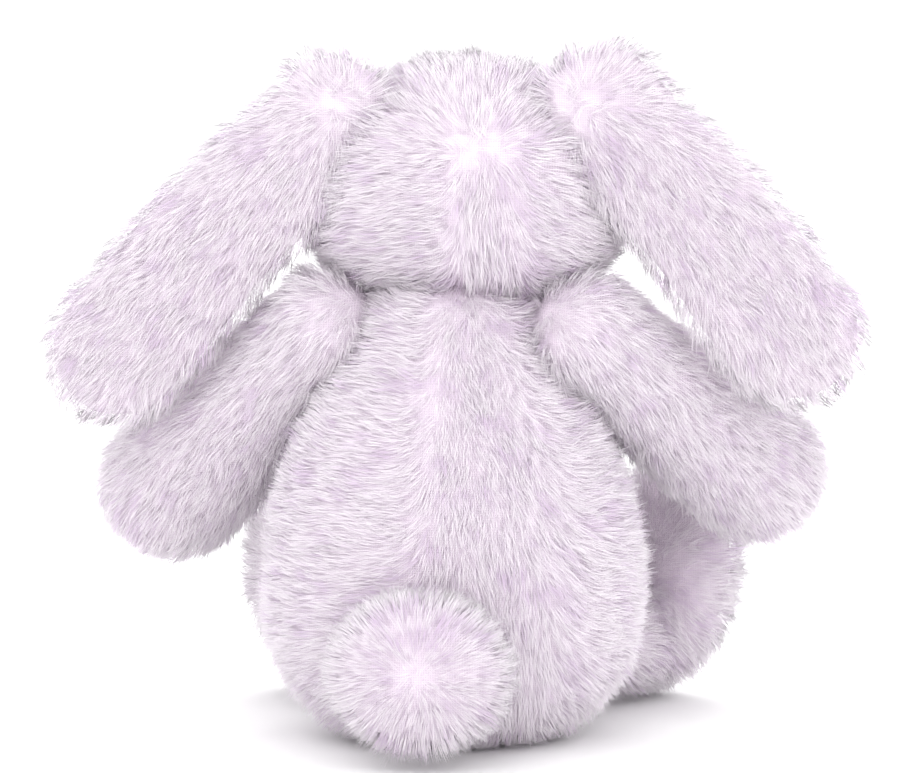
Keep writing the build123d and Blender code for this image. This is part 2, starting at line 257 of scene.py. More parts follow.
def locks(mesh, comb, coat, rng):
    """Roots, lengths and lie of every lock on a skin. A lock follows the comb's direction along
    the skin, turned by smooth noise and by its own small angle, and stands up from the skin by
    its lift. Where the comb hardly runs along the skin, locks lie any way. coat holds spacing,
    length, lift, wander and seed; length and lift may be functions of the points."""
    root, normal = scatter(mesh, coat["spacing"], rng)
    if "bare" in coat:
        kept = ~coat["bare"](root)
        root, normal = root[kept], normal[kept]
    lie = comb(root)
    lie = lie - dot(lie, normal) * normal
    loose = ease(0.55, 0.15, np.linalg.norm(lie, axis=1))
    lie = unit(lie)
    noise = ripple(root, 0.021, coat["seed"]) * 0.75 + ripple(root, 0.009, coat["seed"] + 1) * 0.35
    turn = coat["wander"] * (noise + 0.55 * rng.normal(size=len(root)))
    turn += loose * rng.uniform(-3.0, 3.0, len(root))
    lie = turned_about(lie, normal, turn)
    length = coat["length"](root) if callable(coat["length"]) else np.full(len(root), coat["length"])
    lift = coat["lift"](root) if callable(coat["lift"]) else np.full(len(root), coat["lift"])
    lift = lift + 0.16 * ripple(root, 0.016, coat["seed"] + 2) + 0.09 * rng.normal(size=len(root))
    length = length * (1 + 0.1 * rng.normal(size=len(root)))
    # Parted patches: painted shade where the pile parts, given as hairs of lower tone that take the mauve
    # strand colour. The random tone added on top is the hairs' own.
    parting_shade_noise = ripple(root, 0.008, coat["seed"] + 3) + 0.5 * ripple(root, 0.03, coat["seed"] + 4)
    parted = ease(0.35, 1.15, parting_shade_noise)
    shade = 0.78 - 0.62 * parted + 0.08 * rng.normal(size=len(root))
    return root, normal, lie, length, lift, shade


def hairs(lock, coat, rng):
    """Hairs of a set of locks, five points each: the root, a ring of three points, the tip. A
    hair starts near its lock's root, runs the way that the lock does give or take a few
    degrees, and is drawn part of the way to the lock's tip. Its ring is lifted off the straight
    line, so that it bends over."""
    root, normal, lie, length, lift, shade = (np.repeat(part, coat["hairs"], axis=0) for part in lock)
    count = len(root)
    tip = root + length[:, None] * (lie * np.cos(lift)[:, None] + normal * np.sin(lift)[:, None])
    across = np.cross(normal, lie)
    angle = rng.uniform(0, 2 * np.pi, count)
    reach = np.sqrt(rng.random(count)) * coat["spacing"] * 0.85
    start = root + (lie * np.cos(angle)[:, None] + across * np.sin(angle)[:, None]) * reach[:, None]
    own = turned_about(lie, normal, 0.12 * rng.normal(size=count))
    rise = (lift + 0.12 * rng.normal(size=count))[:, None]
    own_length = (length * rng.uniform(0.72, 1.08, count))[:, None]
    end = start + own_length * (own * np.cos(rise) + normal * np.sin(rise))
    end += (tip - end) * coat["gather"] * rng.uniform(0.5, 1.2, (count, 1))
    start = start - 0.0004 * normal
    along = end - start
    middle = start + 0.45 * along + normal * own_length * coat["bow"] * rng.uniform(0.4, 1.3, (count, 1))
    first = unit(np.cross(along, normal + 0.01))
    second = np.cross(unit(along), first)
    phase = rng.uniform(0, 2 * np.pi, count)
    thick = (coat["fibre"] * rng.uniform(0.7, 1.3, count))[:, None]
    ring = [
        thick * (first * np.cos(phase + turn)[:, None] + second * np.sin(phase + turn)[:, None])
        for turn in (0, 2 * np.pi / 3, 4 * np.pi / 3)
    ]
    points = np.stack([start, *(middle + r for r in ring), end], 1)
    points[:, :, 2] = np.maximum(points[:, :, 2], 0.0004)
    soft = [unit(0.6 * normal + 0.4 * unit(r)) for r in ring]
    shading = np.stack([normal, *soft, normal], 1)
    tone = np.clip(shade + 0.15 * rng.normal(size=count), 0.02, 0.98)
    return points, shading, tone


HAIR_FACES = np.array([[0, 2, 1], [0, 3, 2], [0, 1, 3], [1, 2, 4], [2, 3, 4], [3, 1, 4]])
# Way from root to tip at a hair's five points; the pile colour reads it and is darker towards the root, as
# painted shade deep in the pile.
HAIR_ALONG = np.array([0.02, 0.45, 0.45, 0.45, 0.98])


def hair_piece(name, points, shading, tone, material):
    """Object of closed hairs. Its UV map holds a hair's tone across and the way from root to
    tip upwards, and its normals lean towards the skin's."""
    count = len(points)
    faces = (HAIR_FACES[None] + 5 * np.arange(count)[:, None, None]).reshape(-1, 3)
    mesh = bpy.data.meshes.new(name)
    mesh.vertices.add(5 * count)
    mesh.loops.add(faces.size)
    mesh.polygons.add(len(faces))
    mesh.vertices.foreach_set("co", points.astype(np.float32).ravel())
    mesh.loops.foreach_set("vertex_index", faces.astype(np.int32).ravel())
    mesh.polygons.foreach_set("loop_start", np.arange(0, faces.size, 3, dtype=np.int32))
    mesh.update(calc_edges=True)
    mesh.polygons.foreach_set("use_smooth", np.ones(len(faces), bool))
    mesh.normals_split_custom_set_from_vertices(shading.reshape(-1, 3).tolist())
    uv = np.stack([np.repeat(tone, 18), np.tile(HAIR_ALONG[HAIR_FACES].ravel(), count)], -1)
    mesh.uv_layers.new(name="OFBake").data.foreach_set("uv", uv.astype(np.float32).ravel())
    mesh.materials.append(material)
    obj = bpy.data.objects.new(name, mesh)
    bpy.context.scene.collection.objects.link(obj)
    return obj


def grow_pile(skin, body, comb, panels, coat, material):
    """Covers a skin with pile, one piece for each named panel. panels gives every point the
    number of its panel."""
    names, number = panels
    rng = np.random.default_rng(coat["seed"])
    lock = locks(skin.data, comb, coat, rng)
    chosen = number(lock[0])
    for k, name in enumerate(names):
        members = chosen == k
        piece = hair_piece(name, *hairs([x[members] for x in lock], coat, rng), material)
        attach(piece, body)


# Materials


def trimmed(name):
    """Gives a piece of pile the short pile's finish."""
    piece = bpy.data.objects[name]
    piece.data.materials[0] = short_pile()


def add_node(tree, kind, inputs=None, **settings):
    """Node of a kind with its settings and its unlinked inputs."""
    made = tree.nodes.new(kind)
    for key, value in settings.items():
        setattr(made, key, value)
    for key, value in (inputs or {}).items():
        made.inputs[key].default_value = value
    return made


def new_material(name, **inputs):
    """Material with a Principled shader, and that shader."""
    material = bpy.data.materials.get(name) or bpy.data.materials.new(name)
    material.use_nodes = True
    tree = material.node_tree
    tree.nodes.clear()
    output = add_node(tree, "ShaderNodeOutputMaterial")
    shader = add_node(tree, "ShaderNodeBsdfPrincipled")
    for key, value in inputs.items():
        shader.inputs[key.replace("_", " ")].default_value = value
    tree.links.new(shader.outputs[0], output.inputs[0])
    return material, tree, shader


def group_of(name, inputs, outputs):
    """Empty shader node group with named sockets, or the one that is there already."""
    if name in bpy.data.node_groups:
        return bpy.data.node_groups[name], None, None
    group = bpy.data.node_groups.new(name, "ShaderNodeTree")
    for label, kind in inputs.items():
        group.interface.new_socket(label, in_out="INPUT", socket_type=kind)
    for label, kind in outputs.items():
        group.interface.new_socket(label, in_out="OUTPUT", socket_type=kind)
    return group, group.nodes.new("NodeGroupInput"), group.nodes.new("NodeGroupOutput")


def pile_tone_group():
    """Colour of a hair: root to middle to tip along it, darker at the root as painted shade deep in the pile.
    Hairs of low tone turn towards the mauve strand colour, partly their own random tone and partly painted
    shade at partings.
    """
    inputs = dict.fromkeys(("Root", "Middle", "Tip", "Streak"), "NodeSocketColor")
    group, source, sink = group_of("pile_tone", inputs, {"Colour": "NodeSocketColor"})
    if source is None:
        return group
    link = group.links.new
    where = add_node(group, "ShaderNodeUVMap", uv_map="OFBake")
    parts = add_node(group, "ShaderNodeSeparateXYZ")
    link(where.outputs["UV"], parts.inputs[0])
    # Root to middle: darker at the root, as painted shade deep in the pile.
    low = add_node(group, "ShaderNodeMapRange", {"From Max": 0.5}, interpolation_type="SMOOTHSTEP")
    high = add_node(group, "ShaderNodeMapRange", {"From Min": 0.4}, interpolation_type="SMOOTHSTEP")
    # Share of the mauve strand colour, higher on hairs of low tone: random duller hairs, and painted shade in
    # the parted patches.
    mauve_and_shade_share = add_node(group, "ShaderNodeMapRange", {"From Min": 0.75, "From Max": 0.1})
    link(parts.outputs["Y"], low.inputs["Value"])
    link(parts.outputs["Y"], high.inputs["Value"])
    link(parts.outputs["X"], mauve_and_shade_share.inputs["Value"])
    body = add_node(group, "ShaderNodeMix", data_type="RGBA")
    point = add_node(group, "ShaderNodeMix", data_type="RGBA")
    streak = add_node(group, "ShaderNodeMix", data_type="RGBA")
    link(low.outputs[0], body.inputs["Factor"])
    link(source.outputs["Root"], body.inputs[6])
    link(source.outputs["Middle"], body.inputs[7])
    link(high.outputs[0], point.inputs["Factor"])
    link(body.outputs[2], point.inputs[6])
    link(source.outputs["Tip"], point.inputs[7])
    link(mauve_and_shade_share.outputs[0], streak.inputs["Factor"])
    link(point.outputs[2], streak.inputs[6])
    link(source.outputs["Streak"], streak.inputs[7])
    link(streak.outputs[2], sink.inputs["Colour"])
    return group


def grain_group():
    """Even noise of a chosen grain size on Object coordinates, as a value and as a height."""
    group, source, sink = group_of(
        "fine_grain",
        {"Size": "NodeSocketFloat", "Low": "NodeSocketFloat", "High": "NodeSocketFloat"},
        {"Value": "NodeSocketFloat", "Height": "NodeSocketFloat"},
    )
    if source is None:
        return group
    link = group.links.new
    where = add_node(group, "ShaderNodeTexCoord")
    scale = add_node(group, "ShaderNodeMath", {0: 1.0}, operation="DIVIDE")
    noise = add_node(group, "ShaderNodeTexNoise", {"Detail": 4.0})
    fit = add_node(group, "ShaderNodeMapRange")
    link(source.outputs["Size"], scale.inputs[1])
    link(where.outputs["Object"], noise.inputs["Vector"])
    link(scale.outputs[0], noise.inputs["Scale"])
    link(noise.outputs[0], fit.inputs["Value"])
    link(source.outputs["Low"], fit.inputs["To Min"])
    link(source.outputs["High"], fit.inputs["To Max"])
    link(fit.outputs[0], sink.inputs["Value"])
    link(noise.outputs[0], sink.inputs["Height"])
    return group


def tinted(tree, shader, group, light, dark, bump, distance=0.0002):
    """Colour that runs from dark to light with a group's value, and a bump from its height."""
    mix = add_node(tree, "ShaderNodeMix", data_type="RGBA")
    mix.inputs[6].default_value, mix.inputs[7].default_value = dark, light
    relief = add_node(tree, "ShaderNodeBump", {"Strength": bump, "Distance": distance})
    tree.links.new(group.outputs["Value"], mix.inputs["Factor"])
    tree.links.new(mix.outputs[2], shader.inputs["Base Color"])
    tree.links.new(group.outputs["Height"], relief.inputs["Height"])
    tree.links.new(relief.outputs[0], shader.inputs["Normal"])


def grained(name, size, light, dark, bump, **inputs):
    """Material of one finish, with grain of a size in its colour and its relief."""
    material, tree, shader = new_material(name, **inputs)
    grain = add_node(tree, "ShaderNodeGroup", node_tree=grain_group())
    for key, value in (("Size", size), ("Low", 0.0), ("High", 1.0)):
        grain.inputs[key].default_value = value
    tinted(tree, shader, grain, light, dark, bump)
    return material


def piled(name, **inputs):
    """Material of pile: a fibre's root, middle and tip tones, the darker root being painted shade deep in the
    pile, and mauve strands among them, partly random tone and partly painted shade at partings.
    """
    material, tree, shader = new_material(name, **inputs)
    tone = add_node(tree, "ShaderNodeGroup", node_tree=pile_tone_group())
    for key in ("Root", "Middle", "Tip", "Streak"):
        tone.inputs[key].default_value = opaque(getattr(colours(), key.lower()))
    tree.links.new(tone.outputs["Colour"], shader.inputs["Base Color"])
    return material


def woven(name, thread, light, dark):
    """Plain weave on Object coordinates: two sets of rounded threads that cross, each a sine
    wave, taken where they stand highest."""
    material, tree, shader = new_material(name, Roughness=0.9, Sheen_Weight=0.15)
    where = add_node(tree, "ShaderNodeTexCoord")
    waves = []
    for direction in ("X", "Z"):
        wave = add_node(tree, "ShaderNodeTexWave", {"Scale": 0.314 / thread, "Distortion": 0.6})
        wave.bands_direction = direction
        tree.links.new(where.outputs["Object"], wave.inputs["Vector"])
        waves.append(wave)
    top = add_node(tree, "ShaderNodeMath", operation="MAXIMUM")
    tree.links.new(waves[0].outputs["Fac"], top.inputs[0])
    tree.links.new(waves[1].outputs["Fac"], top.inputs[1])
    mix = add_node(tree, "ShaderNodeMix", data_type="RGBA")
    mix.inputs[6].default_value, mix.inputs[7].default_value = dark, light
    relief = add_node(tree, "ShaderNodeBump", {"Strength": 0.5, "Distance": thread / 3})
    tree.links.new(top.outputs[0], mix.inputs["Factor"])
    tree.links.new(mix.outputs[2], shader.inputs["Base Color"])
    tree.links.new(top.outputs[0], relief.inputs["Height"])
    tree.links.new(relief.outputs[0], shader.inputs["Normal"])
    return material


def opaque(colour, factor=1.0):
    """Colour of three parts, each times a factor, with full alpha."""
    return tuple(part * factor for part in colour[:3]) + (1.0,)


def colours():
    """The rabbit's colours."""
    return bpy.context.scene.rabbit_colours


def sizes():
    """The rabbit's sizes."""
    return bpy.context.scene.rabbit_sizes


def long_pile():
    """Pile of the covers."""
    return piled("long_pile", Roughness=0.85, Specular_IOR_Level=0.2, Sheen_Weight=0.25)


def short_pile():
    """Trimmed pile of the ear linings and soles."""
    return piled("short_pile", Roughness=0.9, Specular_IOR_Level=0.15)


def backing_cloth():
    """Knitted back of the pile, a little duller than the pile's middle."""
    red, green, blue = colours().middle
    light = (red * 0.9, green * 0.86, blue * 0.9, 1.0)
    dark = (red * 0.78, green * 0.72, blue * 0.79, 1.0)
    return woven("backing_cloth", 0.0008, light, dark)


def fibrefill():
    """White polyester stuffing."""
    return grained("fibrefill", 0.002, (0.85, 0.85, 0.84, 1), (0.7, 0.7, 0.69, 1), 0.6, Roughness=1.0)


# Parts


def stuffed(name, body, shape, fill_name, inset, seams, covers, cap=0.0025, voxel=0.004):
    """A part's skin and the filling inside it, both from one shape that takes an inset."""
    skin = new_piece(name, shape(inset), backing_cloth())
    puff(skin, seams, cap, voxel)
    inner = new_piece(fill_name, shape(inset + 0.004), fibrefill())
    for piece, slot, nodes in ((skin, "long_pile", covers[:-1]), (inner, "stuffing", covers[-1:])):
        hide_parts(*nodes)
        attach(piece, body)
    return skin


def torso_profile(inset):
    """Half of the torso's outline, as distance from the middle line and height. Two arcs leave
    the widest line upright, one down to the base and one up to the neck, and a dome closes it."""
    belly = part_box("torso_belly_panel")[1]
    widest, top = belly.x, belly.z
    base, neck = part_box("torso_base_disc")[1].x - 0.010, sizes().neck_radius
    height = sizes().belly_height

    def side(end_radius, end_height):
        run = widest - end_radius
        radius = (run**2 + (end_height - height) ** 2) / (2 * run)
        return widest - radius, radius - inset

    low_x, low = side(base, 0.0)
    high_x, high = side(neck, top)
    floor = 0.0015 + max(0.0, inset - sizes().pile_depth)
    low_angle = np.linspace(math.asin((floor - height) / low), 0, 16)
    high_angle = np.linspace(0, math.asin((top - height) / high), 30)[1:]
    radius = np.concatenate([low_x + low * np.cos(low_angle), high_x + high * np.cos(high_angle)])
    rise = np.concatenate([height + low * np.sin(low_angle), height + high * np.sin(high_angle)])
    under = np.linspace(0, radius[0], 8)[:-1]
    over = np.linspace(0, np.pi / 2, 8)[1:]
    radius = np.concatenate([under, radius, radius[-1] * np.cos(over)])
    rise = np.concatenate([np.full(7, floor), rise, rise[-1] + 0.015 * np.sin(over)])
    radius[-1] = 0.0
    return radius, rise


def torso_shape(inset):
    """The torso's profile turned about the upright axis."""
    radius, rise = torso_profile(inset)
    return [carried(rise[:, None] * UP, OUT_X, OUT_Y, radius, radius, turns=72)]


def torso_comb(points):
    """Down a band beside the centre back seam, and from there outwards over both sides. The
    lean away from straight down grows with the angle round the torso, faster on the left."""
    angle = np.arctan2(points[:, 0], points[:, 1])
    away = np.stack([np.cos(angle), -np.sin(angle), np.zeros(len(points))], -1)
    away *= np.where(angle > 0, 1.0, -1.0)[:, None]
    left = 1.6 * ease(-0.04, 0.22, angle)
    right = 1.45 * ease(0.5, 1.0, -angle)
    lean = np.maximum(left, right) * (1 - 0.85 * ease(1.7, 2.6, np.abs(angle)))
    lean *= 0.55 + 0.45 * ease(0.004, 0.045, points[:, 2])
    return away * np.sin(lean)[:, None] - UP * np.cos(lean)[:, None]


def head_box():
    """Centre and half sizes of the head's oval."""
    left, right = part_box("head_panel_left")[1].x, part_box("head_panel_right")[0].x
    gusset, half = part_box("head_gusset")[1], sizes().head_half_height
    return np.array([(left + right) / 2, gusset.y - half, gusset.z - half]), (left - right) / 2, half


MUZZLE_DROP = 0.0145
MUZZLE_SPREAD = 0.0155


def head_shape(inset):
    """An oval turned about its left-right axis: a long arc over the middle, and a rounder one
    over each cheek, drawn out sideways by up to a quarter towards the chin. The muzzle swells
    out of the face as a bell curve."""
    centre, half_width, half_height = head_box()
    cheek = sizes().cheek_radius
    end = half_width - cheek
    side = (end**2 + half_height**2 - cheek**2) / (2 * (half_height - cheek))
    angle = np.linspace(-np.pi / 2, np.pi / 2, 57)
    at = (half_width - inset) * np.sin(angle)
    middle = np.sqrt(np.maximum((side - inset) ** 2 - at**2, 0)) + half_height - side
    ends = np.sqrt(np.maximum((cheek - inset) ** 2 - (np.abs(at) - end) ** 2, 0))
    limit = (side - inset) * math.sin(math.atan(end / (side - half_height)))
    radius = np.where(np.abs(at) < limit, middle, ends)
    radius[0] = radius[-1] = 0.0
    grid = carried(centre + at[:, None] * OUT_X, OUT_Y, UP, radius, radius, turns=64)
    local = grid - centre
    spread = (local[..., 0] ** 2 + (local[..., 2] + MUZZLE_DROP) ** 2) / (2 * MUZZLE_SPREAD**2)
    grid[..., 0] += local[..., 0] * 0.25 * ease(0.002, -0.030, local[..., 2])
    swell = sizes().muzzle_reach * np.exp(-spread) * ease(0.0, -0.02, local[..., 1])
    grid[..., 1] -= swell
    return [grid]


def head_comb(points):
    """Out from a whorl high on the back of the head and, below it, down a band beside the seam
    and outwards on both sides of that. On the face the pile runs out from the nose."""
    centre, _, half = head_box()
    local = points - centre
    whorl = np.array([-0.17, 0.84, 0.3]) * half
    nose = np.array([0.0, -1.1, -0.1]) * half
    x = local[:, 0][:, None]
    band = ease(0.002, -0.003, x) * ease(-0.025, -0.016, x)
    sideways = np.where(x > -0.01, 1.0, -1.0) * OUT_X - 0.12 * UP - 0.25 * ease(0.0, -0.03, x) * UP
    below = ease(0.004, -0.012, local[:, 2][:, None] - whorl[2])
    parted = sideways * (1 - band) - UP * band
    behind = softened(local - whorl, 0.016) * (1 - below) + parted * below
    before = unit(local - nose) + 0.1 * UP
    share = ease(-0.012, 0.014, local[:, 1])[:, None]
    return behind * share + before * (1 - share)


def limb_frame(joint, droop, forward, side):
    """Root, direction and two cross directions of a limb that hangs out from its joint."""
    direction = np.array(
        [side * math.cos(droop) * math.cos(forward), -math.cos(droop) * math.sin(forward), -math.sin(droop)]
    )
    across = unit(np.cross(direction, OUT_Y) * side)
    return pivot(joint), direction, across, np.cross(direction, across)


def ear_frame(word):
    """Root and directions of one ear."""
    droop = sizes().ear_droop_left if word == "left" else sizes().ear_droop_right
    return limb_frame(f"ear_{word}_lift", droop, 0.0, SIDES[word])


# Each ear's reach, half width, and shift upwards at its root and its tip
EAR_LIE = {"left": (0.1275, 0.0255, -0.009, -0.003), "right": (0.1165, 0.0262, -0.004, 0.0024)}
# What each paw's radius grows by, and how far the arm is lifted
ARM_LIE = {"left": (0.0015, 0.0), "right": (0.0, 0.0025)}
# How far each foot is set outwards and upwards, and what it grows by across and along
FOOT_LIE = {"left": (-0.003, 0.0, 0.0), "right": (0.003, 0.005, 0.006)}


def ear_shape(word):
    """Shape of one ear, as a function of its inset."""
    root, direction, across, out = ear_frame(word)
    reach, width, root_shift, tip_shift = EAR_LIE[word]

    def shape(inset):
        """A flat lobe: rings along the ear, whose half width and half thickness are constant
        but for a round closing over the root and over the tip. It sags a little off its line."""
        start, end = -0.033 + inset, reach - inset
        angle = np.linspace(-np.pi / 2, np.pi / 2, 49)
        along = (start + end) / 2 + (end - start) / 2 * np.sin(angle)
        wide = width + 0.0015 * ease(0.0, 0.08, along) - inset
        close = np.sqrt(np.clip(1 - (1 - np.clip((along - start) / 0.017, 0, 1)) ** 2, 0, 1))
        close *= np.sqrt(np.clip(1 - (1 - np.clip((end - along) / wide, 0, 1)) ** 2, 0, 1))
        thick = np.maximum(sizes().ear_thickness / 2 - 0.6 * inset, 0.003) * close**0.7
        shift = root_shift + (tip_shift - root_shift) * ease(-0.01, 0.05, along)
        centre = root + along[:, None] * direction + shift[:, None] * across
        return [carried(centre, across, out, wide * close, thick, roundness=2.3, turns=48)]

    return shape


def ear_comb(word):
    """Comb of one ear."""
    root, direction, across, _ = ear_frame(word)

    def comb(points):
        """Out from the ear's root, and so down the ear, and hanging a little."""
        local = softened(points - (root - 0.012 * direction - 0.01 * across), 0.014)
        return local + 0.4 * direction * ease(0.0, 0.03, (points - root) @ direction)[:, None] - 0.2 * UP

    return comb


def arm_frame(word):
    """Root and directions of one arm."""
    axis = JOINTS[f"arm_{word}_raise"]["axis"]
    forward = math.atan2(-axis[0], abs(axis[1]))
    droop = sizes().arm_droop_left if word == "left" else sizes().arm_droop_right
    return limb_frame(f"arm_{word}_raise", droop, forward, SIDES[word])


def arm_shape(word):
    """Shape of one arm, as a function of its inset."""
    root, direction, across, out = arm_frame(word)
    growth, lifted = ARM_LIE[word]

    def shape(inset):
        """A ring that grows from the shoulder to the paw and closes over both ends."""
        paw = sizes().paw_radius + growth
        start, end = -0.043 + inset, sizes().arm_length + paw - inset
        angle = np.linspace(-np.pi / 2, np.pi / 2, 45)
        along = (start + end) / 2 + (end - start) / 2 * np.sin(angle)
        radius = 0.0225 + (paw - 0.0225) * ease(-0.01, 0.06, along) - inset
        close = np.sqrt(np.clip(1 - (1 - np.clip((along - start) / 0.012, 0, 1)) ** 2, 0, 1))
        close *= np.sqrt(np.clip(1 - (1 - np.clip((end - along) / (paw - inset), 0, 1)) ** 2, 0, 1))
        shift = lifted + 0.0015 + 0.001 * ease(0.05, 0.0, along)
        centre = root + along[:, None] * direction + shift[:, None] * across
        return [carried(centre, across, out, radius * close, radius * close, turns=48)]

    return shape


def arm_comb(word):
    """Comb of one arm."""
    root, direction, _, _ = arm_frame(word)

    def comb(points):
        """Out from the shoulder, down the arm and a little towards the ground."""
        return 0.8 * unit(points - (root - 0.045 * direction)) + 0.6 * direction - 0.35 * UP

    return comb


def leg_frame(word):
    """Hip, and the leg's own left, forward and up directions."""
    side = SIDES[word]
    angle = side * sizes().leg_splay
    left = np.array([math.cos(angle), math.sin(angle), 0.0])
    forward = np.array([math.sin(angle), -math.cos(angle), 0.0])
    return pivot(f"leg_{word}_splay"), left, forward, side


def foot_frame(word):
    """Middle of the foot, and the directions across it and towards its toes."""
    hip, left, forward, side = leg_frame(word)
    roll = side * sizes().foot_roll
    across = left * math.cos(roll) - UP * math.sin(roll)
    toes = left * math.sin(roll) + UP * math.cos(roll)
    outward, raised, _ = FOOT_LIE[word]
    middle = hip + forward * (sizes().leg_length + 0.007) + UP * (0.0125 + raised)
    return middle + side * left * outward, across, toes, forward


def leg_shape(word):
    """Shape of one leg, as a function of its inset."""
    hip, left, forward, _ = leg_frame(word)
    middle, across, toes, ahead = foot_frame(word)

    def shape(inset):
        """A calf whose ring grows towards the ankle, and an upright oval pad for the foot."""
        start, end = -0.014 + inset, sizes().leg_length + 0.012
        angle = np.linspace(-np.pi / 2, np.pi / 2, 33)
        along = (start + end) / 2 + (end - start) / 2 * np.sin(angle)
        radius = (0.0145 + 0.0045 * ease(0, 0.03, along) - inset) * np.cos(angle) ** 0.5
        centre = hip + along[:, None] * forward - 0.05 * along[:, None] * UP
        calf = carried(centre, left, UP, radius, radius, turns=40)
        growth = FOOT_LIE[word][2]
        wide, tall = (sizes().foot_width + growth) / 2 - inset, (sizes().foot_height + growth) / 2 - inset
        thick = sizes().foot_thickness / 2 - 0.8 * inset
        share = (1 - np.abs(np.sin(angle)) ** 3.2) ** (1 / 3.2)
        place = middle + (thick * np.sin(angle))[:, None] * ahead
        return [calf, carried(place, across, toes, wide * share, tall * share, turns=48)]

    return shape


def leg_comb(word):
    """Comb of one leg."""
    middle, _, _, forward = foot_frame(word)

    def comb(points):
        """Forward along the leg, out over the back of the foot, and in towards the sole."""
        local = points - middle
        spoke = local - (local @ forward)[:, None] * forward
        share = ease(-0.025, -0.008, local @ forward)[:, None]
        return forward * (1 - 0.4 * share) + unit(spoke) * share - 0.15 * UP

    return comb


def tail_shape(inset):
    """A flattened ball: rings about the front-back axis whose size follows a rounded arch."""
    low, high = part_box("tail_stuffing")
    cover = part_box("tail_cover")
    front, back = cover[0].y + 0.001 + inset, cover[1].y + 0.001 - inset
    outer, depth = (high.x - low.x) / 2 + 0.006 - inset, (back - front) / 2
    centre = np.array([0.003, (front + back) / 2, (low.z + high.z) / 2])
    angle = np.linspace(-np.pi / 2, np.pi / 2, 29)
    share = np.cos(angle) ** 0.8
    share[[0, -1]] = 0.0
    place = centre + (depth * np.sin(angle))[:, None] * OUT_Y
    return [carried(place, OUT_X, UP, (outer + 0.0025) * share, (outer - 0.001) * share, turns=48)]


def tail_comb(points):
    """Out from the middle of the pompom on every side."""
    local = points - box_centre("tail_stuffing") - 0.003 * OUT_X
    local[:, 1] = 0.12 * local[:, 1] - 0.002
    return softened(local, 0.006)


def near(places, radius):
    """Points that lie within a radius of any of some places."""

    def test(points):
        found = np.zeros(len(points), bool)
        for place in places:
            found |= np.linalg.norm(points - np.array(place), axis=1) < radius
        return found

    return test


def whole(points):
    """Panel number of a cover that is one piece."""
    return np.zeros(len(points), int)


def coat(seed, **changes):
    """The long pile's lie, with what one part changes."""
    pile = sizes()
    usual = {
        "seed": seed,
        "spacing": pile.lock_spacing,
        "hairs": pile.lock_hairs,
        "length": pile.pile_length,
        "lift": pile.pile_lift,
        "wander": 0.26,
        "gather": pile.lock_gather,
        "bow": 0.13,
        "fibre": pile.fibre_width / 2,
    }
    return {**usual, **changes}


def length(name, description, default):
    """Length that a user may change."""
    return bpy.props.FloatProperty(name=name, description=description, default=default, unit="LENGTH")


def angle(name, description, default):
    """Angle that a user may change."""
    return bpy.props.FloatProperty(name=name, description=description, default=default, subtype="ANGLE")


class RabbitSizes(bpy.types.PropertyGroup):
    """Sizes of the rabbit"""

    pile_depth: length("Pile depth", "From the backing cloth to the pile's outside", 0.004)
    pile_length: length("Pile length", "Length of a lock of the long pile", 0.0098)
    pile_lift: angle("Pile lift", "How far the pile stands up from the cloth", 0.5)
    lock_spacing: length("Lock spacing", "Distance between locks", 0.0021)
    lock_hairs: bpy.props.IntProperty(name="Hairs in a lock", description="Hairs that share a tip", default=7)
    lock_gather: bpy.props.FloatProperty(
        name="Gather",
        description="How far hairs are drawn to their lock's tip",
        default=0.15,
        subtype="FACTOR",
    )
    fibre_width: length("Fibre width", "Thickness of a hair at its middle", 0.00018)
    belly_height: length("Belly height", "Height of the torso's widest line", 0.046)
    neck_radius: length("Neck radius", "Torso's radius at its top", 0.035)
    head_half_height: length("Head half height", "Half of the head's height", 0.044)
    cheek_radius: length("Cheek radius", "Radius of the head's rounder ends", 0.038)
    muzzle_reach: length("Muzzle reach", "How far the muzzle stands out of the face", 0.0122)
    ear_droop_left: angle("Left ear droop", "Below level", math.radians(50))
    ear_droop_right: angle("Right ear droop", "Below level", math.radians(53))
    ear_thickness: length("Ear thickness", "Thickness with its pile", 0.018)
    arm_droop_left: angle("Left arm droop", "Below level", math.radians(40))
    arm_droop_right: angle("Right arm droop", "Below level", math.radians(35))
    arm_length: length("Arm length", "From the shoulder to the paw's centre", 0.069)
    paw_radius: length("Paw radius", "Radius of the paw with its pile", 0.0255)
    leg_length: length("Leg length", "From the hip to the ankle", 0.04)
    leg_splay: angle("Leg splay", "Outward from straight ahead", math.radians(33))
    foot_roll: angle("Foot roll", "Toes lean outwards", math.radians(20))
    foot_width: length("Foot width", "Across the foot with its pile", 0.05)
    foot_height: length("Foot height", "Heel to toes with its pile", 0.076)
    foot_thickness: length("Foot thickness", "Sole to back of the foot", 0.034)


def tint(name, description, default):
    """Colour that a user may change."""
    return bpy.props.FloatVectorProperty(
        name=name, description=description, default=default, subtype="COLOR", size=3, min=0, max=1
    )


class RabbitColours(bpy.types.PropertyGroup):
    """Colours of the rabbit"""

    # Root colour: darker than the middle, as painted shade deep in the pile.
    root: tint("Root", "Pile at the backing cloth", (0.74, 0.60, 0.76))
    middle: tint("Middle", "Pile half way up", (0.90, 0.83, 0.895))
    tip: tint("Tip", "Pile at its tips", (0.955, 0.92, 0.95))
    # Mauve strand colour: duller hairs of random tone, and painted shade on the hairs of the parted patches.
    streak: tint("Streak", "Duller strands, and painted shade at partings", (0.74, 0.60, 0.77))
    nose: tint("Nose", "Embroidered nose and mouth", (0.72, 0.36, 0.42))
    eye: tint("Eye", "Plastic of the eyes", (0.012, 0.008, 0.007))
    thread: tint("Thread", "Sewing thread", (0.62, 0.50, 0.66))


